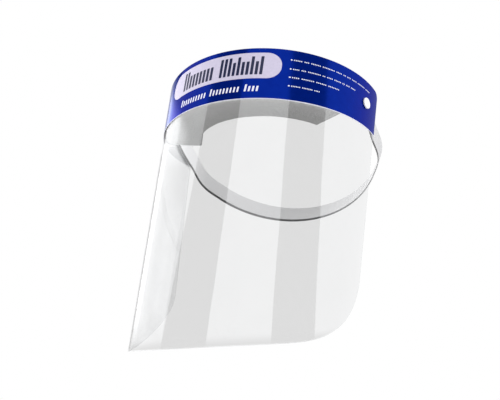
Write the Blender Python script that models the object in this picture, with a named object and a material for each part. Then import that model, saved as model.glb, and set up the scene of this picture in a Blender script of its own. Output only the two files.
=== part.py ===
"""Direct-splash face shield: curved clear sheet, blue header film, foam brow pad and elastic strap."""
import math

import bmesh
import bpy
import numpy as np
from mathutils import Matrix, Vector

# Clear sheet: a ruled surface between a bent top edge and a bent bottom edge (metres, radians).
SHEET_HALF_WIDTH = 0.140
SHEET_DROP = 0.220
SHEET_THICKNESS = 0.0003
BEND_SPAN = 0.160
TOP_BEND = 12.4
TOP_BEND_FADE = -0.089
BOTTOM_BEND = 13.8
BOTTOM_BEND_FADE = -0.283
BOTTOM_LEAN = 0.00995
TOP_END_RISE = 0.0023
BOTTOM_END_RISE = 0.0466
LOWER_CORNER_ALONG = 0.0629
LOWER_CORNER_UP = 0.0424
UPPER_CORNER = 0.006
TRACE_STEPS = 560

# Height of the sheet's top edge above the middle of the brow pad.
TOP_EDGE_Z = 0.024

# Layers, measured along the outward normal from the sheet's mid surface.
REST_GAP = 0.0003
FILM_THICKNESS = 0.00015
FILM_INSET = 0.0004
FILM_HEIGHT = 0.0432
TAPE_THICKNESS = 0.0003
TAPE_HALF_LENGTH = 0.092
TAPE_TOP = 0.010
TAPE_BOTTOM = 0.038

# Foam brow pad.
FOAM_SETBACK = 0.028
FOAM_HALF_LENGTH = 0.0968
FOAM_TOP = 0.0068
FOAM_BOTTOM = 0.0412
FOAM_EDGE_RADIUS = 0.0012

# Snap rivets that hold the strap on the sheet.
SNAP_ALONG = 0.1197
SNAP_DOWN = 0.0216
CAP_RADIUS = 0.0041
CAP_WALL = 0.0013
CAP_DOME = 0.0008
POST_RADIUS = 0.00175
POST_HOLE_RADIUS = 0.0022
STRAP_HOLE_RADIUS = 0.0024
SOCKET_RADIUS = 0.0042
SOCKET_BORE_RADIUS = 0.00205
SOCKET_HEIGHT = 0.0017
POST_OVERHANG = 0.0003
LATHE_STEPS = 40
PUNCH_DEPTH = 0.012
EDGE_BREAK = 0.0003

# Mesh settings.
SHARP_ANGLE = math.radians(35.0)
WELD_DISTANCE = 0.00001
MIN_COLUMN = 0.00035
CORNER_STEPS = 9

# Elastic strap, drawn flat in its own plane and then tilted about the snap axis.
STRAP_TILT = math.radians(26.0)
STRAP_HEIGHT = 0.017
STRAP_THICKNESS = 0.0008
STRAP_CLEARANCE = 0.0009
STRAP_DEPTH = SHEET_THICKNESS / 2 + STRAP_CLEARANCE + STRAP_THICKNESS / 2
STRAP_END = 0.009
STRAP_HALF_SPAN = 0.0825
STRAP_ARC_START = 0.0173
STRAP_ARC_DEPTH = 0.0773
STRAP_LEAVES_SHEET = 0.020
STRAP_ON_ARC = 0.038
STRAP_SPLIT_ANGLE = math.radians(52.0)
STRAP_ROWS = 5
BACK_COLUMNS = 34
RUN_COLUMNS = 30


def clear_scene():
    """Remove every object so the build starts empty."""
    for obj in list(bpy.data.objects):
        bpy.data.objects.remove(obj, do_unlink=True)


def material(name, colour, roughness, alpha=1.0):
    """Plain Principled material for one sub-part."""
    mat = bpy.data.materials.new(name)
    mat.use_nodes = True
    shader = mat.node_tree.nodes["Principled BSDF"]
    shader.inputs["Base Color"].default_value = (*colour, 1.0)
    shader.inputs["Roughness"].default_value = roughness
    shader.inputs["Alpha"].default_value = alpha
    return mat


def linked_object(name, bm, mat, frame=Matrix.Identity(4)):
    """Put a finished bmesh into the scene as one smooth-shaded object with crisp edges."""
    bmesh.ops.recalc_face_normals(bm, faces=bm.faces)
    mesh = bpy.data.meshes.new(name)
    bm.to_mesh(mesh)
    bm.free()
    mesh.transform(frame)
    mesh.shade_smooth()
    mesh.set_sharp_from_angle(angle=SHARP_ANGLE)
    mesh.materials.append(mat)
    obj = bpy.data.objects.new(name, mesh)
    bpy.context.scene.collection.objects.link(obj)
    return obj


def mesh_object(name, verts, faces, mat):
    """One named mesh object with faces turned outward."""
    bm = bmesh.new()
    made = [bm.verts.new(v) for v in verts]
    for face in faces:
        bm.faces.new([made[i] for i in face])
    return linked_object(name, bm, mat)


def traced(bend, fade):
    """Plan curve of an edge whose heading turns by bend, eased off by fade towards the ends."""
    s = np.linspace(-SHEET_HALF_WIDTH, SHEET_HALF_WIDTH, TRACE_STEPS + 1)
    turn = bend * s + fade * (s / BEND_SPAN) ** 3
    step = s[1] - s[0]
    x = np.concatenate([[0.0], np.cumsum((np.cos(turn)[1:] + np.cos(turn)[:-1]) * step / 2)])
    y = np.concatenate([[0.0], np.cumsum((np.sin(turn)[1:] + np.sin(turn)[:-1]) * step / 2)])
    middle = TRACE_STEPS // 2
    return s, x - x[middle], y - y[middle], turn


TOP_EDGE = traced(TOP_BEND, TOP_BEND_FADE)
BOTTOM_EDGE = traced(BOTTOM_BEND, BOTTOM_BEND_FADE)
FRONT_Y = BOTTOM_LEAN * TOP_EDGE_Z / SHEET_DROP - FOAM_SETBACK


def sheet_point(u, v, out=0.0):
    """Point at u along the width and v down the sheet, moved out along the level normal."""
    w = v / SHEET_DROP
    top_x, top_y, top_turn = (float(np.interp(u, TOP_EDGE[0], TOP_EDGE[k])) for k in (1, 2, 3))
    low_x, low_y, low_turn = (float(np.interp(u, BOTTOM_EDGE[0], BOTTOM_EDGE[k])) for k in (1, 2, 3))
    low_y -= BOTTOM_LEAN
    ends = (u / BEND_SPAN) ** 2
    apart = (low_x - top_x) ** 2 + (low_y - top_y) ** 2
    fall = math.sqrt(SHEET_DROP ** 2 - apart) - BOTTOM_END_RISE * ends
    turn = (1 - w) * top_turn + w * low_turn
    x = (1 - w) * top_x + w * low_x + out * math.sin(turn)
    y = (1 - w) * top_y + w * low_y - out * math.cos(turn) + FRONT_Y
    z = TOP_EDGE_Z + TOP_END_RISE * ends - w * fall
    return Vector((x, y, z))


def rounded_drop(u, half_width, top, bottom, upper, lower_along, lower_up):
    """Start and end of the column at u on a panel with rounded upper and lower corners."""
    high, low = top, bottom
    past = abs(u) - (half_width - upper)
    if upper > 0.0 and past > 0.0:
        high = top + upper - math.sqrt(max(upper ** 2 - past ** 2, 0.0))
    past = abs(u) - (half_width - lower_along)
    if lower_along > 0.0 and past > 0.0:
        share = math.sqrt(max(1.0 - (past / lower_along) ** 2, 0.0))
        low = bottom - lower_up * (1.0 - share)
    return high, low


def column_positions(half_width, count, corners):
    """Column stations, evenly spread with extra ones where a corner turns quickly."""
    stations = set(np.round(np.linspace(-half_width, half_width, count), 6))
    for radius in corners:
        for angle in np.linspace(0.0, math.pi / 2, CORNER_STEPS):
            station = round(half_width - radius + radius * math.sin(angle), 6)
            stations.update((station, -station))
    ordered = sorted(stations)
    kept = [ordered[0]]
    for station in ordered[1:-1]:
        if station - kept[-1] > MIN_COLUMN and ordered[-1] - station > MIN_COLUMN:
            kept.append(station)
    return kept + [ordered[-1]]


def curved_panel(name, mat, stations, drops, rows, inner, outer):
    """Closed panel that follows the sheet between two distances from its mid surface."""
    verts = []
    for out in (inner, outer):
        for u in stations:
            high, low = drops(u)
            verts += [sheet_point(u, high + (low - high) * j / rows, out) for j in range(rows + 1)]
    side = len(stations) * (rows + 1)

    def at(layer, i, j):
        return layer * side + i * (rows + 1) + j

    faces = []
    last = len(stations) - 1
    for i in range(last):
        for j in range(rows):
            for layer in (0, 1):
                faces.append([at(layer, i, j), at(layer, i, j + 1), at(layer, i + 1, j + 1), at(layer, i + 1, j)])
        for j in (0, rows):
            faces.append([at(0, i, j), at(0, i + 1, j), at(1, i + 1, j), at(1, i, j)])
    for j in range(rows):
        for i in (0, last):
            faces.append([at(0, i, j), at(0, i, j + 1), at(1, i, j + 1), at(1, i, j)])
    return mesh_object(name, verts, faces, mat)


def snap_frame(side):
    """Matrix whose origin is the snap's centre on the sheet and whose +Z points outward."""
    centre = sheet_point(side * SNAP_ALONG, SNAP_DOWN)
    outward = (sheet_point(side * SNAP_ALONG, SNAP_DOWN, 0.01) - centre).normalized()
    turned = Vector((0.0, 0.0, 1.0)).rotation_difference(outward).to_matrix().to_4x4()
    return Matrix.Translation(centre) @ turned


def lathe(name, profile, frame, mat):
    """Solid of revolution from (radius, height) pairs that start and end on the axis."""
    bm = bmesh.new()
    line = [bm.verts.new((r, 0.0, h)) for r, h in profile]
    edges = [bm.edges.new(pair) for pair in zip(line, line[1:])]
    bmesh.ops.spin(bm, geom=line + edges, cent=(0, 0, 0), axis=(0, 0, 1), angle=math.tau, steps=LATHE_STEPS)
    bmesh.ops.remove_doubles(bm, verts=bm.verts, dist=WELD_DISTANCE)
    return linked_object(name, bm, mat, frame)


def punch(target, radius, frame):
    """Round hole through a thin piece along the snap's axis."""
    mesh = bpy.data.meshes.new(target.name + "_punch")
    bm = bmesh.new()
    bmesh.ops.create_cone(bm, cap_ends=True, segments=LATHE_STEPS, radius1=radius, radius2=radius, depth=PUNCH_DEPTH)
    bm.to_mesh(mesh)
    bm.free()
    cutter = bpy.data.objects.new(mesh.name, mesh)
    cutter.matrix_world = frame
    cutter.hide_render = True
    cutter.display_type = "WIRE"
    bpy.context.scene.collection.objects.link(cutter)
    cut = target.modifiers.new("snap hole", "BOOLEAN")
    cut.operation = "DIFFERENCE"
    cut.solver = "EXACT"
    cut.object = cutter


def build_sheet(frames):
    """Clear visor sheet with two snap holes."""
    stations = column_positions(SHEET_HALF_WIDTH, 73, (LOWER_CORNER_ALONG, UPPER_CORNER))

    def drops(u):
        return rounded_drop(u, SHEET_HALF_WIDTH, 0.0, SHEET_DROP, UPPER_CORNER, LOWER_CORNER_ALONG, LOWER_CORNER_UP)

    half = SHEET_THICKNESS / 2
    clear = material("visor_sheet", (0.90, 0.92, 0.94), 0.05, 0.3)
    sheet = curved_panel("visor_sheet", clear, stations, drops, 9, -half, half)
    for frame in frames:
        punch(sheet, POST_HOLE_RADIUS, frame)


def build_header_film(frames):
    """Blue film across the top of the sheet's front."""
    half = SHEET_HALF_WIDTH - FILM_INSET
    stations = column_positions(half, 73, (UPPER_CORNER,))

    def drops(u):
        return rounded_drop(u, half, FILM_INSET, FILM_HEIGHT, UPPER_CORNER, 0.0, 0.0)

    inner = SHEET_THICKNESS / 2 + REST_GAP
    blue = material("header_film", (0.004, 0.020, 0.28), 0.3)
    film = curved_panel("header_film", blue, stations, drops, 3, inner, inner + FILM_THICKNESS)
    for frame in frames:
        punch(film, POST_HOLE_RADIUS, frame)


def build_tape():
    """Double-sided tape between the sheet and the foam."""
    outer = -(SHEET_THICKNESS / 2 + REST_GAP)
    stations = column_positions(TAPE_HALF_LENGTH, 49, ())
    white = material("foam_tape", (0.75, 0.75, 0.72), 0.5)

    def drops(_u):
        return TAPE_TOP, TAPE_BOTTOM

    curved_panel("foam_tape", white, stations, drops, 1, outer - TAPE_THICKNESS, outer)


def build_foam():
    """Foam brow pad with square-cut ends and softly rounded edges."""
    outer = -(SHEET_THICKNESS / 2 + REST_GAP + TAPE_THICKNESS + REST_GAP)
    stations = column_positions(FOAM_HALF_LENGTH, 57, ())
    grey = material("foam_pad", (0.62, 0.63, 0.64), 0.9)

    def drops(_u):
        return FOAM_TOP, FOAM_BOTTOM

    foam = curved_panel("foam_pad", grey, stations, drops, 1, -FOAM_SETBACK, outer)
    soften = foam.modifiers.new("soft edges", "BEVEL")
    soften.width = FOAM_EDGE_RADIUS
    soften.segments = 2
    soften.limit_method = "ANGLE"
    soften.angle_limit = math.radians(60.0)


def build_snap(side, frame):
    """Cap with its post outside the sheet, and the ring that clips on from inside."""
    word = "right" if side < 0 else "left"
    white = material("snap_cap_" + word, (0.88, 0.88, 0.88), 0.3)
    under = SHEET_THICKNESS / 2 + REST_GAP + FILM_THICKNESS + REST_GAP
    top = under + CAP_WALL
    strap_inner = -(SHEET_THICKNESS / 2 + STRAP_CLEARANCE + STRAP_THICKNESS)
    ring_outer = strap_inner - REST_GAP
    ring_inner = ring_outer - SOCKET_HEIGHT
    tip = ring_inner - POST_OVERHANG
    profile = [(0.0, top + CAP_DOME), (0.4 * CAP_RADIUS, top + 0.85 * CAP_DOME)]
    profile += [(0.75 * CAP_RADIUS, top + 0.45 * CAP_DOME), (0.93 * CAP_RADIUS, top), (CAP_RADIUS, top - EDGE_BREAK)]
    profile += [(CAP_RADIUS, under), (POST_RADIUS, under), (POST_RADIUS, tip + EDGE_BREAK)]
    profile += [(POST_RADIUS - EDGE_BREAK, tip), (0.0, tip)]
    lathe("snap_cap_" + word, profile, frame, white)
    ring_white = material("snap_ring_" + word, (0.85, 0.85, 0.85), 0.35)
    face = SOCKET_RADIUS - EDGE_BREAK
    ring = [(SOCKET_BORE_RADIUS, ring_outer), (face, ring_outer), (SOCKET_RADIUS, ring_outer - EDGE_BREAK)]
    ring += [(SOCKET_RADIUS, ring_inner + EDGE_BREAK), (face, ring_inner)]
    ring += [(SOCKET_BORE_RADIUS, ring_inner), (SOCKET_BORE_RADIUS, ring_outer)]
    lathe("snap_ring_" + word, ring, frame, ring_white)


def smooth(value, start, end):
    """Smooth step from 0 at start to 1 at end."""
    t = min(max((value - start) / (end - start), 0.0), 1.0)
    return t * t * (3.0 - 2.0 * t)


def wing_x(y, z, inward):
    """Width of the sheet's side, less a distance inward, at a height and depth."""
    u, v = SNAP_ALONG, SNAP_DOWN
    for _ in range(12):
        here = sheet_point(u, v, -inward)
        u = min(max(u + (y - here.y), 0.0), SHEET_HALF_WIDTH)
        v = max(v - (z - here.z), 0.0)
    return sheet_point(u, v, -inward).x


def strap_half_width(back, up, pivot):
    """Half-width of the strap loop at a distance behind the snaps and a height on the webbing."""
    y = pivot.y + back * math.cos(STRAP_TILT) + up * math.sin(STRAP_TILT)
    z = pivot.z - back * math.sin(STRAP_TILT) + up * math.cos(STRAP_TILT)
    tucked = wing_x(y, z, STRAP_DEPTH)
    along = max(back - STRAP_ARC_START, 0.0) / STRAP_ARC_DEPTH
    arc = STRAP_HALF_SPAN * math.sqrt(max(1.0 - along ** 2, 0.0))
    share = smooth(back, STRAP_LEAVES_SHEET, STRAP_ON_ARC)
    return (1.0 - share) * tucked + share * arc


def strap_stations():
    """Distances behind the snaps of the side run's columns, ending where the back part starts."""
    near = np.linspace(-STRAP_END, STRAP_ON_ARC, RUN_COLUMNS * 2 // 3)
    angle = math.asin((STRAP_ON_ARC - STRAP_ARC_START) / STRAP_ARC_DEPTH)
    angles = np.linspace(angle, STRAP_SPLIT_ANGLE, RUN_COLUMNS // 3)[1:]
    return [float(b) for b in near] + [STRAP_ARC_START + STRAP_ARC_DEPTH * math.sin(a) for a in angles]


def strap_band(name, columns, pivot, mat):
    """Band solid from columns of (x, back, up) points, thickened to both sides."""
    verts = [Vector(point) for column in columns for point in column]
    rows = len(columns[0])
    faces = []
    for i in range(len(columns) - 1):
        for j in range(rows - 1):
            a = i * rows + j
            faces.append([a, a + 1, a + rows + 1, a + rows])
    band = mesh_object(name, verts, faces, mat)
    band.location = pivot
    band.rotation_euler = (-STRAP_TILT, 0.0, 0.0)
    thicken = band.modifiers.new("webbing", "SOLIDIFY")
    thicken.thickness = STRAP_THICKNESS
    thicken.offset = 0.0
    thicken.use_even_offset = True
    return band


def build_strap(frames):
    """Elastic strap: two side runs from the snaps and the part behind the head."""
    pivot = sheet_point(SNAP_ALONG, SNAP_DOWN, -STRAP_DEPTH)
    pivot.x = 0.0
    ups = [STRAP_HEIGHT * (j / STRAP_ROWS - 0.5) for j in range(STRAP_ROWS + 1)]
    for side in (-1, 1):
        word = "right" if side < 0 else "left"
        run_columns = [[(side * strap_half_width(b, up, pivot), b, up) for up in ups] for b in strap_stations()]
        grey = material("strap_run_" + word, (0.78, 0.78, 0.80), 0.8)
        run = strap_band("strap_run_" + word, run_columns, pivot, grey)
        punch(run, STRAP_HOLE_RADIUS, frames[0 if side < 0 else 1])
    start = STRAP_SPLIT_ANGLE + REST_GAP / STRAP_ARC_DEPTH
    angles = np.linspace(start, math.pi - start, BACK_COLUMNS)
    back_columns = []
    for a in angles:
        x = STRAP_HALF_SPAN * math.cos(a)
        b = STRAP_ARC_START + STRAP_ARC_DEPTH * math.sin(a)
        back_columns.append([(x, b, up) for up in ups])
    strap_band("strap_back", back_columns, pivot, material("strap_back", (0.78, 0.78, 0.80), 0.8))


def build():
    """Build every piece of the face shield."""
    clear_scene()
    frames = [snap_frame(-1), snap_frame(1)]
    build_sheet(frames)
    build_header_film(frames)
    build_tape()
    build_foam()
    for side, frame in zip((-1, 1), frames):
        build_snap(side, frame)
    build_strap(frames)


build()
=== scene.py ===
import math

import bmesh
import bpy
import numpy as np
from mathutils import Matrix, Vector, noise


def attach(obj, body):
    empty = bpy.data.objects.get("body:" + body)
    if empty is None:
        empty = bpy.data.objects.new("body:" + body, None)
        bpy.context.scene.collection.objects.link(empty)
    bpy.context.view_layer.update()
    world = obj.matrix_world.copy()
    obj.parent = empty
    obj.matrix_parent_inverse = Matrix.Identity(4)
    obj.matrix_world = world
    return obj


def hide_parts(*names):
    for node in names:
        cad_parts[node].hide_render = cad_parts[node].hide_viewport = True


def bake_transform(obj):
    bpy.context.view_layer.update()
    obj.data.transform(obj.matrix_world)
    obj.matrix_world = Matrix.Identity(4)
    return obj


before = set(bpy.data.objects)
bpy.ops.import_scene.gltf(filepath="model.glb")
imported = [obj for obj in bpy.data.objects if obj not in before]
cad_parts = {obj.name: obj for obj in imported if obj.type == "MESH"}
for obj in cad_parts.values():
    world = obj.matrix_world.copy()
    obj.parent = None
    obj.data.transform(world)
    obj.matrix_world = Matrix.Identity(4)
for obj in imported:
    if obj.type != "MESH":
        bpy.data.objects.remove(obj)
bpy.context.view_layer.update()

# Clear sheet, the same ruled surface as in the CAD model.
SHEET_HALF_WIDTH = 0.140
SHEET_DROP = 0.220
SHEET_THICKNESS = 0.0003
BEND_SPAN = 0.160
TOP_BEND = 12.4
TOP_BEND_FADE = -0.089
BOTTOM_BEND = 13.8
BOTTOM_BEND_FADE = -0.283
BOTTOM_LEAN = 0.00995
TOP_END_RISE = 0.0023
BOTTOM_END_RISE = 0.0466
LOWER_CORNER_ALONG = 0.0629
LOWER_CORNER_UP = 0.0424
UPPER_CORNER = 0.006
TOP_EDGE_Z = 0.024
FOAM_SETBACK = 0.028
FRONT_Y = BOTTOM_LEAN * TOP_EDGE_Z / SHEET_DROP - FOAM_SETBACK
TRACE_STEPS = 1400
CUT_EDGE_WIDTH = 0.0006
# Painted shade along the sheet's lower edge: how far up it reaches and its darkest tone.
FOOT_SHADE_DEPTH = 0.008
FOOT_SHADE_TONE = 0.15

# Header film and its print, outward from the sheet's mid surface.
FILM_INNER = 0.00045
FILM_OUTER = 0.00060
FILM_INSET = 0.0004
FILM_HEIGHT = 0.0432
FILM_MARGIN = 0.0005
INK_FLOAT = 0.000005
INK_THICKNESS = 0.00003
PANEL_EDGES = (-0.0505, 0.0453, 0.0044, 0.0262)
PANEL_CORNER = 0.0105
TITLE_BASE = 0.0230
TITLE_TALL = 0.0155
TITLE_SHORT = 0.0112
TITLE_SLANT = 0.02
SUBTITLE_BASE = 0.0370
SUBTITLE_TALL = 0.0058
SUBTITLE_SHORT = 0.0043
SUBTITLE_SLANT = 0.10
NOTE_BULLET = (0.0510, 0.0522)
NOTE_START = 0.0532
NOTE_LINES = ((0.0088, 0.1255), (0.0166, 0.1070), (0.0237, 0.0915), (0.0310, 0.0755))    # middle v, end u
NOTE_GROUPS = ((5, 3, 6, 8, 4, 2, 3, 4, 7, 5), (4, 3, 8, 2, 4, 5, 2, 3, 4), (4, 7, 6, 7), (6, 7, 4))
NOTE_GAP = 0.9
NOTE_DASH = 0.60
NOTE_HALF = 0.00045
NOTE_CORNER = 0.0001

# Foam pad.
FOAM_OUTER = -0.00105
FOAM_HALF_LENGTH = 0.0968
FOAM_TOP = 0.0068
FOAM_BOTTOM = 0.0412
FOAM_EDGE_RADIUS = 0.0014
FOAM_SHADE_TONES = ((0.0, 0.52), (0.30, 0.55), (0.76, 0.67), (1.0, 0.95))    # depth share, grey of the painted shade, darker away from the sheet
FOAM_SWELL = 0.00022
FOAM_ROUGHNESS = 0.0001

# Snap rivets.
SNAP_ALONG = 0.1197
SNAP_DOWN = 0.0216
CAP_UNDER = 0.0009
CAP_RADIUS = 0.0041
CAP_WALL = 0.0013
CAP_DOME = 0.0008
CAP_RIM = 0.00045
CAP_LOWER_RIM = 0.00025
POST_RADIUS = 0.00175
POST_HOLE_RADIUS = 0.0022
POST_TIP = -0.00415
POST_TIP_RADIUS = 0.0004
STRAP_HOLE_RADIUS = 0.0024
RING_RADIUS = 0.0042
RING_BORE = 0.00205
RING_OUTER = -0.00215
RING_INNER = -0.00385
RING_CHAMFER = 0.0002
RING_EDGE = 0.00035
RING_LEAD_IN = 0.0003
SPRING_SLOT = (2 * (RING_BORE + 0.0009), 0.00045, 0.0012)
TURN_STEPS = 96
DRILL_LENGTH = 0.012

# Elastic strap, laid out in its own plane tilted about the snap axis.
STRAP_TILT = math.radians(26.0)
STRAP_HEIGHT = 0.017
STRAP_THICKNESS = 0.0008
STRAP_DEPTH = 0.00145
STRAP_END = 0.009
STRAP_HALF_SPAN = 0.0825
STRAP_ARC_START = 0.0173
STRAP_ARC_DEPTH = 0.0773
STRAP_LEAVES_SHEET = 0.026
STRAP_ON_ARC = 0.060
STRAP_RIBS = 12
# Width of the strap's edge rows; along the lower edge these rows carry a painted shadow.
STRAP_EDGE_BAND = 0.0023
WEAVE_PICK = 0.0011
WEAVE_GAP = 0.00012
# Painted shade along the strap: where the darkening starts and where it is darkest.
STRAP_SHADE_FROM = 0.058
STRAP_SHADE_TO = 0.092

SHARP_ANGLE = math.radians(35.0)


# ---------------------------------------------------------------- surfaces

def traced(bend, fade):
    """Plan curve of an edge whose heading turns by bend, eased off by fade towards the ends."""
    s = np.linspace(-SHEET_HALF_WIDTH, SHEET_HALF_WIDTH, TRACE_STEPS + 1)
    turn = bend * s + fade * (s / BEND_SPAN) ** 3
    step = s[1] - s[0]
    x = np.concatenate([[0.0], np.cumsum((np.cos(turn)[1:] + np.cos(turn)[:-1]) * step / 2)])
    y = np.concatenate([[0.0], np.cumsum((np.sin(turn)[1:] + np.sin(turn)[:-1]) * step / 2)])
    middle = TRACE_STEPS // 2
    return s, x - x[middle], y - y[middle], turn


TOP_EDGE = traced(TOP_BEND, TOP_BEND_FADE)
BOTTOM_EDGE = traced(BOTTOM_BEND, BOTTOM_BEND_FADE)


def on_sheet(u, v, out=0.0):
    """Points of the sheet's mid surface, moved out along the level normal; arrays in, (..., 3) out."""
    u, v = np.broadcast_arrays(np.asarray(u, float), np.asarray(v, float))
    w = v / SHEET_DROP
    top_x, top_y, top_turn = (np.interp(u, TOP_EDGE[0], TOP_EDGE[k]) for k in (1, 2, 3))
    low_x, low_y, low_turn = (np.interp(u, BOTTOM_EDGE[0], BOTTOM_EDGE[k]) for k in (1, 2, 3))
    low_y = low_y - BOTTOM_LEAN
    ends = (u / BEND_SPAN) ** 2
    apart = (low_x - top_x) ** 2 + (low_y - top_y) ** 2
    fall = np.sqrt(SHEET_DROP ** 2 - apart) - BOTTOM_END_RISE * ends
    turn = (1 - w) * top_turn + w * low_turn
    x = (1 - w) * top_x + w * low_x + out * np.sin(turn)
    y = (1 - w) * top_y + w * low_y - out * np.cos(turn) + FRONT_Y
    z = TOP_EDGE_Z + TOP_END_RISE * ends - w * fall
    return np.stack([x, y, z], axis=-1)


def smooth(value, start, end):
    """Smooth step from 0 at start to 1 at end."""
    t = np.clip((value - start) / (end - start), 0.0, 1.0)
    return t * t * (3.0 - 2.0 * t)


# ---------------------------------------------------------------- mesh helpers

def link_new(name, data):
    """New object in the scene that holds a mesh, light or camera."""
    obj = bpy.data.objects.new(name, data)
    bpy.context.scene.collection.objects.link(obj)
    return obj


def finished_mesh(bm, name):
    """Mesh made from a bmesh, which is freed."""
    mesh = bpy.data.meshes.new(name)
    bm.to_mesh(mesh)
    bm.free()
    return mesh


def add_object(name, mesh, materials):
    """Link a mesh as one smooth-shaded object with crisp edges."""
    mesh.shade_smooth()
    mesh.set_sharp_from_angle(angle=SHARP_ANGLE)
    for mat in materials:
        mesh.materials.append(mat)
    return link_new(name, mesh)


def lay_flat(mesh, coords):
    """Store each vertex's flat coordinates as the UV layer that the materials read."""
    loops = np.zeros(len(mesh.loops), np.int32)
    mesh.loops.foreach_get("vertex_index", loops)
    flat = np.array(coords, np.float32)
    mesh.uv_layers.new(name="Flat").data.foreach_set("uv", flat[loops].ravel())


def outward(mesh):
    """Turn a closed mesh's faces outward."""
    bm = bmesh.new()
    bm.from_mesh(mesh)
    bmesh.ops.recalc_face_normals(bm, faces=bm.faces)
    bm.to_mesh(mesh)
    bm.free()


def shell_object(name, patches, materials, face_material):
    """Closed thin shells from (front points, back points, flat coordinates) grids."""
    verts, flat, faces, tags = [], [], [], []
    for front, back, coords in patches:
        base = len(verts)
        columns, rows = front.shape[:2]
        for layer in (front, back):
            verts += [tuple(p) for p in layer.reshape(-1, 3)]
            flat += [tuple(c) for c in coords.reshape(-1, 2)]
        side = columns * rows
        for i in range(columns - 1):
            for j in range(rows - 1):
                a = base + i * rows + j
                tag = face_material(i, j, columns, rows)
                faces.append((a, a + 1, a + rows + 1, a + rows))
                tags.append(tag[0])
                b = a + side
                faces.append((b, b + rows, b + rows + 1, b + 1))
                tags.append(tag[1])
            for j in (0, rows - 1):
                a = base + i * rows + j
                faces.append((a, a + rows, a + rows + side, a + side))
                tags.append(tag[2])
        for j in range(rows - 1):
            for i in (0, columns - 1):
                a = base + i * rows + j
                faces.append((a, a + 1, a + 1 + side, a + side))
                tags.append(tag[2])
    mesh = bpy.data.meshes.new(name)
    mesh.from_pydata(verts, [], faces)
    mesh.polygons.foreach_set("material_index", tags)
    lay_flat(mesh, flat)
    outward(mesh)
    return add_object(name, mesh, materials)


def lathe(name, profile, steps, place, materials):
    """Solid of revolution about +Z from (radius, height) pairs, put in place by a matrix."""
    bm = bmesh.new()
    line = [bm.verts.new((r, 0.0, h)) for r, h in profile]
    edges = [bm.edges.new(pair) for pair in zip(line, line[1:])]
    bmesh.ops.spin(bm, geom=line + edges, cent=(0, 0, 0), axis=(0, 0, 1), angle=math.tau, steps=steps)
    bmesh.ops.remove_doubles(bm, verts=bm.verts, dist=0.000002)
    bmesh.ops.recalc_face_normals(bm, faces=bm.faces)
    mesh = finished_mesh(bm, name)
    mesh.transform(place)
    return add_object(name, mesh, materials)


def cut_away(target, cutter):
    """Subtract a closed cutter object from a piece and delete the cutter."""
    cut = target.modifiers.new("cut", "BOOLEAN")
    cut.operation = "DIFFERENCE"
    cut.solver = "EXACT"
    cut.object = cutter
    graph = bpy.context.evaluated_depsgraph_get()
    result = bpy.data.meshes.new_from_object(target.evaluated_get(graph), depsgraph=graph)
    target.modifiers.clear()
    old = target.data
    target.data = result
    bpy.data.meshes.remove(old)
    bpy.data.objects.remove(cutter)


def drill(target, radius, place):
    """Round hole through a thin piece along a snap's axis."""
    bm = bmesh.new()
    bmesh.ops.create_cone(bm, cap_ends=True, segments=TURN_STEPS, radius1=radius, radius2=radius,
                          depth=DRILL_LENGTH)
    cutter = link_new("drill", finished_mesh(bm, "drill"))
    cutter.matrix_world = place
    cut_away(target, cutter)


def snap_place(side):
    """Matrix whose origin is the snap's centre on the sheet and whose +Z points outward."""
    centre = Vector(on_sheet(side * SNAP_ALONG, SNAP_DOWN))
    normal = (Vector(on_sheet(side * SNAP_ALONG, SNAP_DOWN, 0.01)) - centre).normalized()
    turned = Vector((0.0, 0.0, 1.0)).rotation_difference(normal).to_matrix().to_4x4()
    return Matrix.Translation(centre) @ turned


SNAP_PLACES = {"right": snap_place(-1), "left": snap_place(1)}


# ---------------------------------------------------------------- materials

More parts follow.
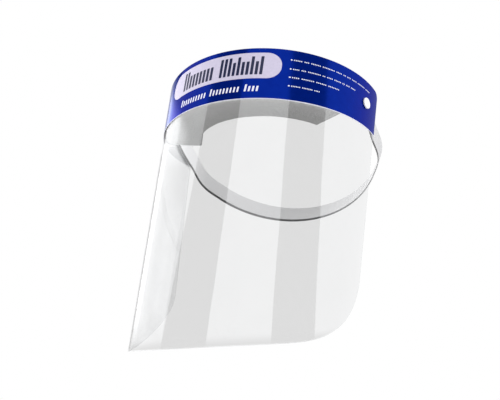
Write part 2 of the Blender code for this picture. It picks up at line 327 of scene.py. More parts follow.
class Shader:
    """A node material: its Principled shader, and short calls that add and link nodes."""

    def __init__(self, name, colour, roughness, **sockets):
        self.mat = bpy.data.materials.new(name)
        self.mat.use_nodes = True
        self.tree = self.mat.node_tree
        self.main = self.tree.nodes["Principled BSDF"]
        self.main.inputs["Base Color"].default_value = (*colour, 1.0)
        self.main.inputs["Roughness"].default_value = roughness
        for socket, value in sockets.items():
            self.main.inputs[socket.replace("_", " ")].default_value = value

    def add(self, kind, inputs=None, **settings):
        """New shader node; inputs are values or sockets, settings are the node's own properties."""
        node = self.tree.nodes.new("ShaderNode" + kind)
        for key, value in settings.items():
            setattr(node, key, value)
        for key, value in (inputs or {}).items():
            self.feed(node.inputs[key], value)
        return node

    def feed(self, socket, value):
        """Link a socket to the input, or give it a fixed value."""
        if isinstance(value, bpy.types.NodeSocket):
            self.tree.links.new(value, socket)
        else:
            socket.default_value = value

    def place(self, scale, use_flat=False):
        """Texture coordinates in metres times scale, from the object or from the flat layout."""
        source = self.add("TexCoord").outputs["UV" if use_flat else "Object"]
        return self.add("Mapping", {"Vector": source, "Scale": scale}).outputs["Vector"]

    def noise(self, vector, scale, detail=3.0, roughness=0.5):
        """Noise from 0 to 1; scale is in lumps per metre."""
        made = self.add("TexNoise", {"Vector": vector, "Scale": scale, "Detail": detail,
                                     "Roughness": roughness})
        return made.outputs["Fac"]

    def spread(self, value, low, high):
        """Map a 0 to 1 value onto low to high."""
        return self.add("MapRange", {"Value": value, "To Min": low, "To Max": high}).outputs["Result"]

    def eased(self, value, start, end, low, high):
        """Smooth step from low at start to high at end."""
        ranges = {"Value": value, "From Min": start, "From Max": end, "To Min": low, "To Max": high}
        return self.add("MapRange", ranges, interpolation_type="SMOOTHSTEP").outputs["Result"]

    def tint(self, value, dark, light, start=0.3, end=0.7):
        """Colour between dark and light as value goes from start to end."""
        ramp = self.add("ValToRGB", {"Fac": value})
        ramp.color_ramp.elements[0].position = start
        ramp.color_ramp.elements[0].color = (*dark, 1.0)
        ramp.color_ramp.elements[1].position = end
        ramp.color_ramp.elements[1].color = (*light, 1.0)
        return ramp.outputs["Color"]

    def multiply(self, colour, factor):
        """Product of two colours, or of a colour and a value."""
        made = self.add("Mix", {0: 1.0, 6: colour, 7: factor}, data_type="RGBA", blend_type="MULTIPLY")
        return made.outputs[2]

    def bump(self, height, distance, strength=1.0, under=None):
        """Normal bent by a height from 0 to 1 over distance, on top of the normal under it."""
        node = self.add("Bump", {"Height": height, "Distance": distance, "Strength": strength})
        if under is not None:
            self.feed(node.inputs["Normal"], under)
        return node.outputs["Normal"]

    def set(self, **sockets):
        """Feed the shader's sockets and hand back the material."""
        for socket, value in sockets.items():
            self.feed(self.main.inputs[socket.replace("_", " ")], value)
        return self.mat


def clear_plastic():
    """Thin clear sheet: mostly see-through, mirror-like, faintly wavy and marked, with painted shade
    darkening it at its foot.
    """
    s = Shader("clear_plastic", (0.56, 0.57, 0.58), 0.035, Metallic=1.0, Alpha=0.15)
    spots = s.noise(s.place((1, 1, 1)), 60.0, 5.0, 0.6)
    waves = s.noise(s.place((1, 1, 0.25)), 26.0, 2.0)
    down = s.add("SeparateXYZ", {0: s.place((1, 1, 1), use_flat=True)}).outputs["Y"]
    # painted shade: the base colour darkens over the last few millimetres above the sheet's lower edge
    foot_shade = s.eased(down, SHEET_DROP - FOOT_SHADE_DEPTH, SHEET_DROP, 1.0, FOOT_SHADE_TONE)
    body = s.tint(spots, (0.53, 0.54, 0.55), (0.58, 0.59, 0.60))
    return s.set(
        Base_Color=s.multiply(body, foot_shade),
        Roughness=s.spread(spots, 0.02, 0.06),
        Normal=s.bump(waves, 0.00022),
    )


def cut_plastic_edge():
    """Cut border of the clear sheet, painted lighter and more opaque than the sheet to stand for light caught
    in the edge.
    """
    s = Shader("cut_plastic_edge", (0.72, 0.73, 0.74), 0.3, Metallic=0.5, Alpha=0.22)
    marks = s.noise(s.place((1, 1, 1)), 900.0, 3.0)
    return s.set(
        Base_Color=s.tint(marks, (0.60, 0.61, 0.62), (0.72, 0.73, 0.74)),
        Roughness=s.spread(marks, 0.2, 0.45),
        Normal=s.bump(marks, 0.00002),
    )


def header_blue():
    """Blue pigment under a gloss film, with a faint printed mottle."""
    s = Shader("header_blue", (0.001, 0.017, 0.27), 0.2, Metallic=0.55, Specular_IOR_Level=0.12,
               Specular_Tint=(0.32, 0.36, 0.55, 1.0))
    mottle = s.noise(s.place((1, 1, 1)), 240.0, 4.0, 0.6)
    waves = s.noise(s.place((1, 1, 0.3)), 30.0, 2.0)
    return s.set(
        Base_Color=s.tint(mottle, (0.0009, 0.0165, 0.250), (0.0012, 0.0195, 0.280)),
        Roughness=s.spread(mottle, 0.09, 0.15),
        Normal=s.bump(waves, 0.0001),
    )


def film_white(name, dark, light):
    """Unprinted white of the film."""
    s = Shader(name, light, 0.38)
    fibres = s.noise(s.place((1, 1, 1)), 500.0, 4.0, 0.6)
    return s.set(
        Base_Color=s.tint(fibres, dark, light),
        Roughness=s.spread(fibres, 0.3, 0.45),
        Normal=s.bump(fibres, 0.00001),
    )


def ink(name, dark, light, roughness):
    """Screen-printed ink with a slightly uneven lay-down."""
    s = Shader(name, light, roughness)
    grain = s.noise(s.place((1, 1, 1)), 700.0, 5.0, 0.65)
    return s.set(
        Base_Color=s.tint(grain, dark, light),
        Roughness=s.spread(grain, roughness - 0.06, roughness + 0.08),
        Normal=s.bump(grain, 0.000012),
    )


def open_cell_foam():
    """Soft polyurethane foam with fine open cells, painted paler by the tape and darker towards the inner
    side as shade.
    """
    s = Shader("open_cell_foam", (0.5, 0.5, 0.5), 0.95, Sheen_Weight=0.25, Sheen_Roughness=0.6,
               Specular_IOR_Level=0.15)
    where = s.place((1, 1, 1))
    cells = s.add("TexVoronoi", {"Vector": where, "Scale": 1500.0, "Randomness": 1.0}).outputs["Distance"]
    larger = s.add("TexVoronoi", {"Vector": where, "Scale": 620.0, "Randomness": 1.0}).outputs["Distance"]
    cloud = s.noise(where, 120.0, 5.0, 0.6)
    height = s.add("Math", {0: cells, 1: larger}, operation="ADD").outputs["Value"]
    soft = s.bump(cloud, 0.0006, 0.5)
    depth = s.add("SeparateXYZ", {0: s.place((1, 1, 1), use_flat=True)}).outputs["Y"]
    ranges = {"Value": depth, "From Min": -FOAM_SETBACK, "From Max": FOAM_OUTER}
    near = s.add("MapRange", ranges).outputs["Result"]
    # painted shade: the foam is darkened from the tape side towards its inner side
    painted_depth_shade = s.add("ValToRGB", {"Fac": near})
    for stop, (position, grey) in enumerate(FOAM_SHADE_TONES):
        point = painted_depth_shade.color_ramp.elements[stop] if stop in (0, 1) else painted_depth_shade.color_ramp.elements.new(position)
        point.position = position
        point.color = (grey, grey, grey, 1.0)
    pale = s.tint(height, (0.39, 0.39, 0.385), (0.55, 0.55, 0.545), 0.25, 1.2)
    return s.set(
        Base_Color=s.multiply(pale, painted_depth_shade.outputs["Color"]),
        Roughness=s.spread(cloud, 0.88, 1.0),
        Normal=s.bump(height, 0.00025, 0.8, soft),
    )


def tape_adhesive():
    """Double-sided tape: matt off-white adhesive with pressed-in streaks."""
    s = Shader("tape_adhesive", (0.72, 0.72, 0.68), 0.5)
    streaks = s.noise(s.place((1, 1, 6)), 260.0, 4.0, 0.6)
    return s.set(
        Base_Color=s.tint(streaks, (0.64, 0.64, 0.60), (0.78, 0.78, 0.74)),
        Roughness=s.spread(streaks, 0.35, 0.6),
        Normal=s.bump(streaks, 0.00004),
    )


def moulded_plastic(name, colour):
    """White moulded snap plastic with a fine spark-eroded grain."""
    s = Shader(name, colour, 0.28, Coat_Weight=0.15)
    grain = s.noise(s.place((1, 1, 1)), 1500.0, 4.0, 0.6)
    cloud = s.noise(s.place((1, 1, 1)), 300.0, 2.0)
    darker = tuple(0.95 * c for c in colour)
    return s.set(
        Base_Color=s.tint(cloud, darker, colour),
        Roughness=s.spread(grain, 0.22, 0.38),
        Normal=s.bump(grain, 0.00001),
    )


def elastic(name, dark, light, rear_shade_tone):
    """Woven elastic: picks laid brick-wise across the ribs, a slight fuzz, painted darker towards the back as
    shade.
    """
    s = Shader(name, light, 0.82, Sheen_Weight=0.3, Sheen_Roughness=0.5, Specular_IOR_Level=0.25)
    where = s.place((1, 1, 1), use_flat=True)
    weave = s.add("TexBrick", {"Vector": where, "Scale": 1.0, "Mortar Size": WEAVE_GAP,
                               "Mortar Smooth": 1.0, "Brick Width": WEAVE_PICK,
                               "Row Height": STRAP_HEIGHT / STRAP_RIBS / 2})
    weave.inputs["Color1"].default_value = (*light, 1.0)
    weave.inputs["Color2"].default_value = (*[0.25 * a + 0.75 * b for a, b in zip(dark, light)], 1.0)
    weave.inputs["Mortar"].default_value = (*dark, 1.0)
    back = s.add("SeparateXYZ", {0: s.place((1, 1, 1))}).outputs["Y"]
    # painted shade: the colour darkens from the snaps towards the back of the strap
    painted_rear_shade = s.eased(back, STRAP_SHADE_FROM, STRAP_SHADE_TO, 1.0, rear_shade_tone)
    fuzz = s.noise(s.place((1, 1, 1)), 2600.0, 5.0, 0.7)
    picks = s.bump(weave.outputs["Fac"], -0.00002, 0.4)
    return s.set(
        Base_Color=s.multiply(weave.outputs["Color"], painted_rear_shade),
        Roughness=s.spread(fuzz, 0.72, 0.95),
        Normal=s.bump(fuzz, 0.00001, 0.5, picks),
    )


# ---------------------------------------------------------------- clear sheet and header film

def rounded_drop(u, half_width, top, bottom, upper, lower_along, lower_up):
    """Start and end of each column on a panel with rounded upper and lower corners."""
    past = np.clip(np.abs(u) - (half_width - upper), 0.0, upper)
    high = top + upper - np.sqrt(upper ** 2 - past ** 2)
    low = np.full_like(u, bottom)
    if lower_along > 0.0:
        share = np.clip((np.abs(u) - (half_width - lower_along)) / lower_along, 0.0, 1.0)
        low = bottom - lower_up * (1.0 - np.sqrt(1.0 - share ** 2))
    return high, low


def stations(half_width, count, radii, corner_steps=28):
    """Column positions, even along the width and closer together round the corners."""
    even = np.linspace(-half_width, half_width, count)
    bends = [half_width - r + r * np.sin(np.linspace(0, math.pi / 2, corner_steps)) for r in radii]
    extra = np.concatenate(bends + [-b for b in bends])
    ordered = np.unique(np.round(np.concatenate([even, extra]), 6))
    keep = np.concatenate([[True], np.diff(ordered) > 0.00006])
    keep[-1] = True
    return ordered[keep]


def curved_grid(u, high, low, shares, inner, outer):
    """Front and back point grids and flat coordinates for columns u between high and low."""
    v = high[:, None] + (low - high)[:, None] * shares[None, :]
    uu = np.repeat(u[:, None], len(shares), axis=1)
    return on_sheet(uu, v, outer), on_sheet(uu, v, inner), np.stack([uu, v], axis=-1)


def border_shares(rows, length, border):
    """Row positions from 0 to 1 with one narrow row at each end."""
    inside = np.linspace(border / length, 1.0 - border / length, rows)
    return np.concatenate([[0.0], inside, [1.0]])


def make_sheet(clear, edge):
    """Clear sheet with a cut border painted lighter as light caught in the edge, and the two snap holes."""
    narrow = SHEET_HALF_WIDTH - CUT_EDGE_WIDTH
    u = stations(SHEET_HALF_WIDTH, 241, (LOWER_CORNER_ALONG, UPPER_CORNER))
    u = np.unique(np.concatenate([u, [-narrow, narrow]]))
    high, low = rounded_drop(u, SHEET_HALF_WIDTH, 0.0, SHEET_DROP, UPPER_CORNER, LOWER_CORNER_ALONG,
                             LOWER_CORNER_UP)
    shares = border_shares(90, SHEET_DROP, CUT_EDGE_WIDTH)
    half = SHEET_THICKNESS / 2

    def face_material(i, j, _columns, rows):
        rim = j in (0, rows - 2) or min(u[i], u[i + 1]) < -narrow or max(u[i], u[i + 1]) > narrow
        return (1, 1, 1) if rim else (0, 0, 1)

    patch = curved_grid(u, high, low, shares, -half, half)
    sheet = shell_object("clear_sheet", [patch], [clear, edge], face_material)
    for place in SNAP_PLACES.values():
        drill(sheet, POST_HOLE_RADIUS, place)
    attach(sheet, "shield")
    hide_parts("visor_sheet")


def make_header_film(blue, margin, back):
    """Header film: blue front with a thin white lower margin, white back, two snap holes."""
    half = SHEET_HALF_WIDTH - FILM_INSET
    u = stations(half, 261, (UPPER_CORNER,))
    high, low = rounded_drop(u, half, FILM_INSET, FILM_HEIGHT, UPPER_CORNER, 0.0, 0.0)
    shares = np.append(np.linspace(0.0, 1.0 - FILM_MARGIN / FILM_HEIGHT, 34), 1.0)

    def face_material(_i, j, _columns, rows):
        return (1, 2, 1) if j == rows - 2 else (0, 2, 1)

    patch = curved_grid(u, high, low, shares, FILM_INNER, FILM_OUTER)
    film = shell_object("header_film_printed", [patch], [blue, margin, back], face_material)
    for place in SNAP_PLACES.values():
        drill(film, POST_HOLE_RADIUS, place)
    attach(film, "shield")
    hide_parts("header_film")


# ---------------------------------------------------------------- print on the header

def ink_patch(left, right, top, bottom, radius, slant=0.0, layer=0):
    """Thin rounded patch of ink on the film; slant leans its top towards larger u."""
    steps = max(3, int((right - left) / 0.0012))
    curve = radius * (1.0 - np.cos(np.linspace(0, math.pi / 2, 7 if radius < 0.002 else 15)))
    u = np.unique(np.round(np.concatenate([left + curve, np.linspace(left + radius, right - radius, steps),
                                           right - curve]), 7))
    past = np.clip(np.maximum(left + radius - u, u - (right - radius)), 0.0, radius)
    trim = (radius - np.sqrt(radius ** 2 - past ** 2)) * 0.96
    rows = np.linspace(0.0, 1.0, 4 if bottom - top < 0.01 else 9)
    v = (top + trim)[:, None] + ((bottom - top) - 2 * trim)[:, None] * rows[None, :]
    uu = u[:, None] + slant * (bottom - v)
    low = FILM_OUTER + INK_FLOAT + layer * (INK_THICKNESS + INK_FLOAT)
    return on_sheet(uu, v, low + INK_THICKNESS), on_sheet(uu, v, low), np.stack([uu, v], axis=-1)


def bar_row(start, base, heights, pitch, width, slant, layer):
    """Plain upright bars in a row, one for each height."""
    patches = []
    for k, height in enumerate(heights):
        left = start + k * pitch
        patches.append(ink_patch(left, left + width, base - height, base, 0.18 * width, slant, layer))
    return patches


def title_bars():
    """Two rows of upright bars on the panel, where a title would be."""
    tall, short = TITLE_TALL, TITLE_SHORT
    first = (tall,) * 2 + (short,) * 7
    second = (tall, tall, tall, short, tall, short, short, tall, short, tall)
    return (bar_row(-0.0348, TITLE_BASE, first, 0.0034, 0.0022, TITLE_SLANT, 1)
            + bar_row(0.0005, TITLE_BASE, second, 0.0033, 0.0021, TITLE_SLANT, 1))


def subtitle_bars():
    """Three rows of smaller bars under the panel."""
    patches = []
    for start, shorter, pitch, width in ((-0.0340, 9, 0.00262, 0.0012), (-0.0052, 8, 0.00262, 0.0012),
                                         (0.0210, 3, 0.00275, 0.0014)):
        heights = (SUBTITLE_TALL,) + (SUBTITLE_SHORT,) * shorter
        patches += bar_row(start, SUBTITLE_BASE, heights, pitch, width, SUBTITLE_SLANT, 0)
    return patches


def note_lines():
    """Small lines of dashes in groups, each line after a bullet."""
    patches = []
    for groups, (middle, end) in zip(NOTE_GROUPS, NOTE_LINES):
        patches.append(ink_patch(*NOTE_BULLET, middle - 0.0005, middle + 0.0005, 0.0003))
        at = NOTE_START
        unit = (end - at) / (sum(groups) + NOTE_GAP * len(groups))
        for dashes in groups:
            for _ in range(dashes):
                patches.append(ink_patch(at, at + NOTE_DASH * unit, middle - NOTE_HALF, middle + NOTE_HALF,
                                         NOTE_CORNER))
                at += unit
            at += NOTE_GAP * unit
    return patches


def make_print(white, pale, navy):
    """Generic print: a pale panel with bars for a title, bars under it, and small note lines."""

    def whole(_i, _j, _columns, _rows):
        return (0, 0, 0)

    panel = shell_object("print_panel", [ink_patch(*PANEL_EDGES, PANEL_CORNER)], [pale], whole)
    title_piece = shell_object("print_title_bars", title_bars(), [navy], whole)
    under_piece = shell_object("print_subtitle_bars", subtitle_bars(), [white], whole)
    notes_piece = shell_object("print_note_lines", note_lines(), [white], whole)
    for piece in (panel, title_piece, under_piece, notes_piece):
        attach(piece, "shield")


# ---------------------------------------------------------------- foam pad

def rounded_box_grid(counts, low, high, radius):
    """Surface points and faces of a box with rounded edges, with counts cells along each axis."""
    low, high = np.array(low), np.array(high)
    lines = []
    for k in range(3):
        bend = radius * (1.0 - np.cos(np.linspace(0, math.pi / 2, 5)))[:-1]
        middle = np.linspace(low[k] + radius, high[k] - radius, counts[k])
        lines.append(np.concatenate([low[k] + bend, middle, high[k] - bend[::-1]]))
    index, points, faces = {}, [], []

    def vertex(i, j, k):
        if (i, j, k) not in index:
            raw = np.array([lines[0][i], lines[1][j], lines[2][k]])
            core = np.clip(raw, low + radius, high - radius)
            away = raw - core
            reach = np.linalg.norm(away)
            index[(i, j, k)] = len(points)
            points.append(core + away * (radius / reach) if reach > 0 else raw)
        return index[(i, j, k)]

    for axis in range(3):
        a, b = [k for k in range(3) if k != axis]
        for end in (0, len(lines[axis]) - 1):
            for i in range(len(lines[a]) - 1):
                for j in range(len(lines[b]) - 1):
                    corners = []
                    for di, dj in ((0, 0), (1, 0), (1, 1), (0, 1)):
                        spot = [0, 0, 0]
                        spot[axis], spot[a], spot[b] = end, i + di, j + dj
                        corners.append(vertex(*spot))
                    faces.append(corners)
    return np.array(points), faces


def make_foam(foam):
    """Foam brow pad with rounded edges and a slightly uneven cut surface."""
    low = (-FOAM_HALF_LENGTH, FOAM_TOP, -FOAM_SETBACK)
    high = (FOAM_HALF_LENGTH, FOAM_BOTTOM, FOAM_OUTER)
    points, faces = rounded_box_grid((200, 36, 28), low, high, FOAM_EDGE_RADIUS)
    mesh = bpy.data.meshes.new("foam_brow_pad")
    placed = on_sheet(points[:, 0], points[:, 1], points[:, 2])
    mesh.from_pydata([tuple(p) for p in placed], [], faces)
    outward(mesh)
    mesh.update()
    normals = np.array([tuple(vertex.normal) for vertex in mesh.vertices])
    spots = [Vector(p) for p in placed]
    swell = [noise.noise(p * 60.0) * FOAM_SWELL + noise.noise(p * 420.0) * FOAM_ROUGHNESS - FOAM_SWELL
             for p in spots]
    moved = placed + normals * np.array(swell)[:, None]
    mesh.vertices.foreach_set("co", moved.astype(np.float32).ravel())
    lay_flat(mesh, points[:, [0, 2]])
    pad = add_object("foam_brow_pad", mesh, [foam])
    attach(pad, "shield")
    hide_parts("foam_pad")


# ---------------------------------------------------------------- snaps

def quarter(centre_r, centre_h, radius, start, end, steps=6):
    """Profile points on an arc, angles in degrees from +radius towards +height."""
    angles = np.radians(np.linspace(start, end, steps))
    return [(centre_r + radius * math.cos(a), centre_h + radius * math.sin(a)) for a in angles]


def make_cap(word, plastic):
    """Rivet head with a shallow dished face, a rounded rim and its post."""
    top = CAP_UNDER + CAP_WALL
    profile = [(0.0, top + 0.62 * CAP_DOME), (0.0004, top + 0.62 * CAP_DOME), (0.0006, top + 0.78 * CAP_DOME)]
    profile += [(r * CAP_RADIUS, top + CAP_DOME * (1.0 - r ** 2)) for r in np.linspace(0.28, 0.74, 8)]
    profile += [(0.79 * CAP_RADIUS, top + 0.24 * CAP_DOME), (0.83 * CAP_RADIUS, top + 0.26 * CAP_DOME)]
    profile += quarter(CAP_RADIUS - CAP_RIM, top - CAP_RIM + 0.0001, CAP_RIM, 80.0, 0.0, 7)
    profile += quarter(CAP_RADIUS - CAP_LOWER_RIM, CAP_UNDER + CAP_LOWER_RIM, CAP_LOWER_RIM, 0.0, -90.0, 5)
    profile += [(POST_RADIUS + 0.0002, CAP_UNDER), (POST_RADIUS, CAP_UNDER - 0.0002)]
    profile += quarter(POST_RADIUS - POST_TIP_RADIUS, POST_TIP + POST_TIP_RADIUS, POST_TIP_RADIUS,
                       0.0, -90.0, 5)
    profile.append((0.0, POST_TIP))
    cap = lathe("snap_rivet_" + word, profile, TURN_STEPS, SNAP_PLACES[word], [plastic])
    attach(cap, "shield")
    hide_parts("snap_cap_" + word)


def make_ring(word, plastic):
    """Snap ring on the wearer's side, with a chamfered bore and six spring slots."""
    chamfer, edge, lead = RING_CHAMFER, RING_EDGE, RING_LEAD_IN
    profile = [(RING_BORE, RING_OUTER - chamfer), (RING_BORE + chamfer, RING_OUTER)]
    profile += quarter(RING_RADIUS - chamfer, RING_OUTER - chamfer, chamfer, 90.0, 0.0, 4)
    profile += quarter(RING_RADIUS - edge, RING_INNER + edge, edge, 0.0, -90.0, 6)
    profile += [(RING_BORE + lead, RING_INNER), (RING_BORE, RING_INNER + lead), profile[0]]
    ring = lathe("snap_socket_" + word, profile, TURN_STEPS, SNAP_PLACES[word], [plastic])
    for turn in range(3):
        bm = bmesh.new()
        bmesh.ops.create_cube(bm, size=1.0)
        bmesh.ops.scale(bm, verts=bm.verts, vec=SPRING_SLOT)
        slot = link_new("slot", finished_mesh(bm, "slot"))
        spin = Matrix.Rotation(math.pi * turn / 3, 4, "Z")
        slot.matrix_world = SNAP_PLACES[word] @ spin @ Matrix.Translation((0.0, 0.0, RING_INNER))
        cut_away(ring, slot)
    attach(ring, "shield")
    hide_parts("snap_ring_" + word)


# ---------------------------------------------------------------- elastic strap

STRAP_PIVOT = on_sheet(SNAP_ALONG, SNAP_DOWN, -STRAP_DEPTH) * np.array([0.0, 1.0, 1.0])


def strap_world(x, back, up):
    """World points of the strap's own layout: across, behind the snaps and up the webbing."""
    y = STRAP_PIVOT[1] + back * math.cos(STRAP_TILT) + up * math.sin(STRAP_TILT)
    z = STRAP_PIVOT[2] - back * math.sin(STRAP_TILT) + up * math.cos(STRAP_TILT)
    return np.stack([x, y, z], axis=-1)


def tucked_half_width(back, up):
    """Half-width that keeps the strap against the inside of the sheet's side."""
    goal = strap_world(np.zeros_like(back), back, up)
    u = np.full_like(back, SNAP_ALONG)
    v = np.full_like(back, SNAP_DOWN)
    for _ in range(14):
        here = on_sheet(u, v, -STRAP_DEPTH)
        u = np.clip(u + goal[..., 1] - here[..., 1], 0.0, SHEET_HALF_WIDTH)
        v = np.maximum(v - (goal[..., 2] - here[..., 2]), 0.0)
    return on_sheet(u, v, -STRAP_DEPTH)[..., 0]


def strap_half(ups):
    """Mid-surface grid of one side, from the free end by the snap to the middle of the back."""
    near = np.linspace(-STRAP_END, STRAP_ON_ARC, 80)
    start = math.asin((STRAP_ON_ARC - STRAP_ARC_START) / STRAP_ARC_DEPTH)
    angles = np.linspace(start, math.pi / 2, 150)[1:]
    back = np.concatenate([near, STRAP_ARC_START + STRAP_ARC_DEPTH * np.sin(angles)])
    along = np.clip((near - STRAP_ARC_START) / STRAP_ARC_DEPTH, 0.0, 1.0)
    arc = STRAP_HALF_SPAN * np.concatenate([np.sqrt(1.0 - along ** 2), np.cos(angles)])
    back, up = np.meshgrid(back, ups, indexing="ij")
    share = smooth(back, STRAP_LEAVES_SHEET, STRAP_ON_ARC)
    x = arc[:, None] * share
    held = share < 1.0
    x[held] += (1.0 - share[held]) * tucked_half_width(back[held], up[held])
    return strap_world(x, back, up)


def make_strap(web, painted_shadow_edge, outer):
    """One length of ribbed elastic from snap to snap, with its lower edge band painted dark as shadow."""
    web_height = STRAP_HEIGHT - 2 * STRAP_EDGE_BAND
    inside = np.linspace(-0.5, 0.5, STRAP_RIBS * 4 + 1) * web_height
    rim = STRAP_HEIGHT / 2 - STRAP_EDGE_BAND * np.array([0.0, 0.25, 0.6])
    ups = np.concatenate([-rim, inside, rim[::-1]])
    left = strap_half(ups)
    right = left * np.array([-1.0, 1.0, 1.0])
    middle = np.concatenate([right, left[::-1][1:]])
    along = np.gradient(middle, axis=0)
    across = np.gradient(middle, axis=1)
    normal = np.cross(across, along)
    normal /= np.linalg.norm(normal, axis=-1, keepdims=True)
    steps = np.linalg.norm(np.diff(middle[:, len(ups) // 2], axis=0), axis=-1)
    length = np.concatenate([[0.0], np.cumsum(steps)])
    rib = 0.5 - 0.5 * np.cos(2 * math.pi * STRAP_RIBS * (inside / web_height + 0.5))
    edge = np.array([0.25, 0.75, 1.0])
    half = STRAP_THICKNESS / 2 * np.concatenate([edge, 0.80 + 0.20 * rib, edge[::-1]])
    flat = np.stack(np.broadcast_arrays(length[:, None], ups[None, :]), axis=-1)
    front = middle + normal * half[None, :, None]
    rear = middle - normal * half[None, :, None]

    def face_material(_i, j, _columns, _rows):
        # painted shadow: the rows along the lower edge get the near-black elastic
        shadow_band = j < len(edge)
        return (1, 1, 1) if shadow_band else (2, 0, 0)

    strap = shell_object("elastic_strap", [(front, rear, flat)], [web, painted_shadow_edge, outer], face_material)
    for place in SNAP_PLACES.values():
        drill(strap, STRAP_HOLE_RADIUS, place)
    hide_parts("strap_run_left", "strap_run_right", "strap_back")
    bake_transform(strap)


# ---------------------------------------------------------------- studio

FLAG_DISTANCE = 6.0
FLAG_CENTRE = Vector((0.0, 0.02, -0.085))
LAMP_TARGET = Vector((0.0, 0.03, -0.05))
FLOOR_Z = -0.92
FLAG_LOW, FLAG_HIGH = 17.0, 35.0    # heights in degrees where a flag's edges are given
STRIP_FAR_EDGE = -106.0
STRIP_EDGE_SHIFT = 22.0
STRIP_FRONT_EDGE = -60.0


def far_card(name, az, el, mat):
    """Curved card far from the object, seen only in gloss, from grids of azimuth and height in degrees."""
    az, el = np.radians(az), np.radians(el)
    rays = np.stack([np.sin(az) * np.cos(el), -np.cos(az) * np.cos(el), np.sin(el)], axis=-1)
    rows, columns = az.shape
    verts = [FLAG_CENTRE + Vector(ray) * FLAG_DISTANCE for ray in rays.reshape(-1, 3)]
    corners = [j * columns + i for j in range(rows - 1) for i in range(columns - 1)]
    faces = [(a, a + 1, a + columns + 1, a + columns) for a in corners]
    mesh = bpy.data.meshes.new(name)
    mesh.from_pydata(verts, [], faces)
    mesh.materials.append(mat)
    card = link_new(name, mesh)
    for ray_kind in ("camera", "diffuse", "shadow", "transmission", "volume_scatter"):
        setattr(card, "visible_" + ray_kind, False)
    return card


def black_flag(name, left_low, left_high, right_low, right_high, bottom=-25.0, top=80.0):
    """Black card seen only in gloss, from the azimuths of its sides at FLAG_LOW and FLAG_HIGH."""
    mat = Shader(name, (0.0, 0.0, 0.0), 1.0, Specular_IOR_Level=0.0).mat
    across, el = np.meshgrid(np.linspace(0.0, 1.0, 9), np.linspace(bottom, top, 15))
    share = (el - FLAG_LOW) / (FLAG_HIGH - FLAG_LOW)
    left = left_low + (left_high - left_low) * share
    right = right_low + (right_high - right_low) * share
    far_card(name, left + (right - left) * across, el, mat)


def strip_glow(az, el):
    """Brightness of the softbox by azimuth and height in degrees; 1 is as bright as the surroundings."""
    edge = STRIP_FAR_EDGE + STRIP_EDGE_SHIFT * smooth(el, 28.0, 29.8)
    core = 1.0 - smooth(az, edge - 5.0, edge + 3.0)
    tail = 1.0 - smooth(az, edge, STRIP_FRONT_EDGE)
    front = smooth(az, -90.0, -70.0) * smooth(el, 16.5, 19.0) * (1.0 - smooth(el, 24.0, 28.0))
    tail *= 0.8 + 0.7 * smooth(el, 27.0, 29.5)
    upper = 1.0 - 1.12 * smooth(el, 30.8, 32.2)
    return 1.0 + (1.5 * core + tail + 0.6 * front) * upper * smooth(el, 13.5, 16.5)


def glowing_strip():
    """Softbox on the side of -X, seen only in gloss, brightest at its far edge."""
    s = Shader("soft_strip", (0.0, 0.0, 0.0), 1.0, Specular_IOR_Level=0.0, Emission_Strength=1.0)
    mat = s.set(Emission_Color=s.add("Attribute", attribute_name="glow").outputs["Color"])
    az, el = np.meshgrid(np.linspace(-123.0, -56.5, 71), np.linspace(1.0, 33.0, 65))
    glow = strip_glow(az, el).ravel()
    strip = far_card("soft_strip", az, el, mat)
    layer = strip.data.attributes.new("glow", "FLOAT_COLOR", "POINT")
    layer.data.foreach_set("color", np.stack([glow, glow, glow, np.ones_like(glow)], axis=-1).ravel())


def make_floor():
    """Plain pale floor well below the object, so that the view from under it stays clear."""
    s = Shader("floor", (0.76, 0.76, 0.76), 0.7)
    grain = s.noise(s.place((1, 1, 1)), 6.0, 3.0)
    mat = s.set(Base_Color=s.tint(grain, (0.75, 0.75, 0.75), (0.77, 0.77, 0.77)))
    bm = bmesh.new()
    bmesh.ops.create_circle(bm, cap_ends=True, segments=96, radius=9.0)
    mesh = finished_mesh(bm, "floor")
    mesh.materials.append(mat)
    floor = link_new("floor", mesh)
    floor.location = (0.0, 0.0, FLOOR_Z)


def add_lamp(name, place, size, energy):
    """Round soft lamp aimed at the shield, left out of its gloss."""
    data = bpy.data.lights.new(name, "AREA")
    data.shape = "DISK"
    data.size = size
    data.energy = energy
    lamp = link_new(name, data)
    lamp.location = place
    lamp.rotation_euler = (LAMP_TARGET - lamp.location).to_track_quat("-Z", "Y").to_euler()
    lamp.visible_glossy = False


def make_lights():
    """Even white surroundings, a weak soft key from the upper front and soft fills at the sides."""
    world = bpy.data.worlds.new("studio")
    world.use_nodes = True
    surround = world.node_tree.nodes["Background"]
    surround.inputs["Color"].default_value = (1.0, 1.0, 1.0, 1.0)
    surround.inputs["Strength"].default_value = 1.0
    bpy.context.scene.world = world
    add_lamp("key", (1.0, -0.9, 1.1), 0.8, 5.0)
    add_lamp("fill_left", (-1.6, -0.35, -0.55), 1.2, 32.0)
    add_lamp("fill_right", (1.6, -0.35, -0.55), 1.2, 12.0)


CAMERA_PLACE = Vector((0.29163, -0.45780, -0.32359))
CAMERA_YAW = math.radians(30.7735)
CAMERA_PITCH = math.radians(24.2889)
CAMERA_ROLL = math.radians(5.7087)
CAMERA_LENS = 61.96
CAMERA_SENSOR = 36.0


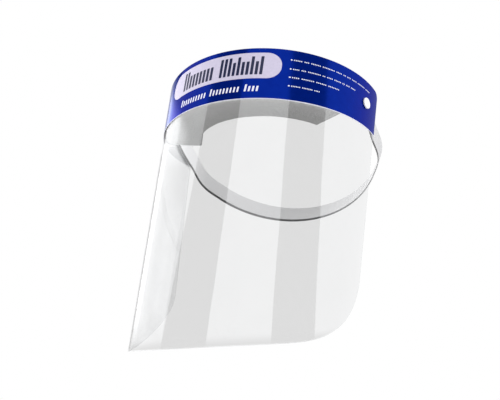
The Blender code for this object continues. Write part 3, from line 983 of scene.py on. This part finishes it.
def make_camera():
    """Camera in front of and below the shield, off to the side of its +X end, looking up at it."""
    ahead = Vector((-math.sin(CAMERA_YAW) * math.cos(CAMERA_PITCH),
                    math.cos(CAMERA_YAW) * math.cos(CAMERA_PITCH), math.sin(CAMERA_PITCH)))
    level = Vector((math.cos(CAMERA_YAW), math.sin(CAMERA_YAW), 0.0))
    upright = level.cross(ahead)
    right = math.cos(CAMERA_ROLL) * level + math.sin(CAMERA_ROLL) * upright
    up = math.cos(CAMERA_ROLL) * upright - math.sin(CAMERA_ROLL) * level
    data = bpy.data.cameras.new("camera")
    data.lens = CAMERA_LENS
    data.sensor_width = CAMERA_SENSOR
    data.clip_start = 0.01
    camera = link_new("camera", data)
    turned = Matrix((right, up, -ahead)).transposed().to_4x4()
    camera.matrix_world = Matrix.Translation(CAMERA_PLACE) @ turned
    bpy.context.scene.camera = camera


def make_studio():
    """Camera, lights, floor, and the flags and softbox that draw the stripes in the gloss."""
    make_camera()
    make_lights()
    make_floor()
    black_flag("flag_right", 61.0, 47.6, 105.0, 85.4)
    black_flag("flag_left", -55.5, -44.0, -3.3, -4.4)
    black_flag("flag_rear", -149.0, -149.0, -124.0, -124.0, top=27.0)
    black_flag("flag_high", -150.0, -150.0, -98.0, -98.0, bottom=33.2, top=62.0)
    glowing_strip()
    bpy.context.scene.view_settings.view_transform = "Standard"


# ---------------------------------------------------------------- assembly

def make_all():
    """Build every visible piece and its material."""
    make_studio()
    make_sheet(clear_plastic(), cut_plastic_edge())
    make_header_film(header_blue(), film_white("film_margin", (0.62, 0.62, 0.73), (0.70, 0.70, 0.79)),
                     film_white("film_back", (0.90, 0.90, 0.91), (0.94, 0.94, 0.95)))
    make_print(ink("ink_white", (0.66, 0.66, 0.76), (0.76, 0.76, 0.84), 0.4),
               ink("ink_pale", (0.48, 0.45, 0.58), (0.54, 0.50, 0.64), 0.4),
               ink("ink_navy", (0.002, 0.006, 0.040), (0.003, 0.009, 0.055), 0.4))
    make_foam(open_cell_foam())
    tape_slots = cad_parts["foam_tape"].data.materials
    tape_slots.clear()
    tape_slots.append(tape_adhesive())
    cap_white = moulded_plastic("snap_cap_plastic", (0.90, 0.90, 0.90))
    ring_white = moulded_plastic("snap_ring_plastic", (0.84, 0.84, 0.84))
    for word in SNAP_PLACES:
        make_cap(word, cap_white)
        make_ring(word, ring_white)
    # The third elastic is a darker copy of the strap's own elastic: painted shade on the face that gets the
    # outer material.
    make_strap(elastic("strap_elastic", (0.80, 0.80, 0.81), (0.90, 0.90, 0.91), 0.71),
               elastic("strap_painted_edge_shadow", (0.05, 0.05, 0.051), (0.09, 0.09, 0.091), 1.0),
               elastic("strap_outer_face_shaded", (0.52, 0.52, 0.53), (0.60, 0.60, 0.61), 0.9))


make_all()
